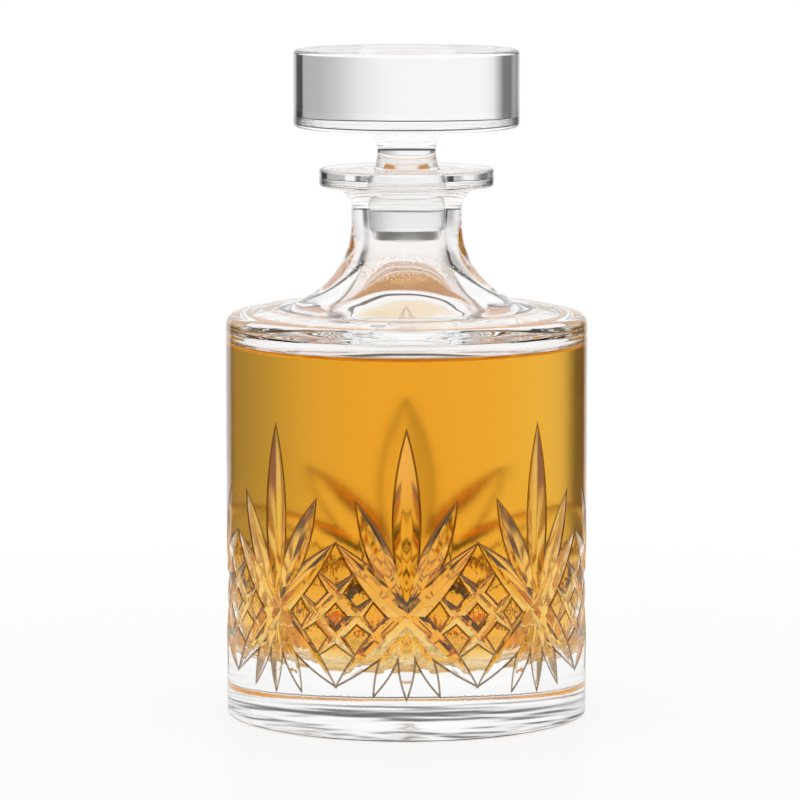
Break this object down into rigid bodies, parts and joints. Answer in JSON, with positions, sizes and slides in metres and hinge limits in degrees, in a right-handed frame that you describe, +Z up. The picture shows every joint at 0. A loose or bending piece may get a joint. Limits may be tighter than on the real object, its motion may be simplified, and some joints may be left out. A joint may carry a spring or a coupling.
{
  "type": "decanter",
  "caption": "Squat round cut-glass decanter with a thick base, low shoulder, short flared neck and a lift-out disc-headed ground stopper, holding amber whiskey.",
  "frame": {"origin": "centre of the flat underside, on the surface the decanter stands on", "axes": "+Z up along the axis of the bottle and stopper; -Y points at the middle of one burst of cuts, the front in the picture; +X to the right of that view"},
  "size_m": [0.104, 0.104, 0.1915],
  "materials": {
    "clear_glass": "polished",
    "stopper_glass": "polished",
    "amber_whiskey": "polished"
  },
  "bodies": {
    "bottle": {"bottle": "clear_glass", "whiskey": "amber_whiskey"},
    "stopper": {"stopper": "stopper_glass"}
  },
  "joints": [
    {"name": "stopper_lift", "type": "slide", "parent": "bottle", "child": "stopper", "axis": [0, 0, 1], "range_m": [0, 0.06]}
  ]
}
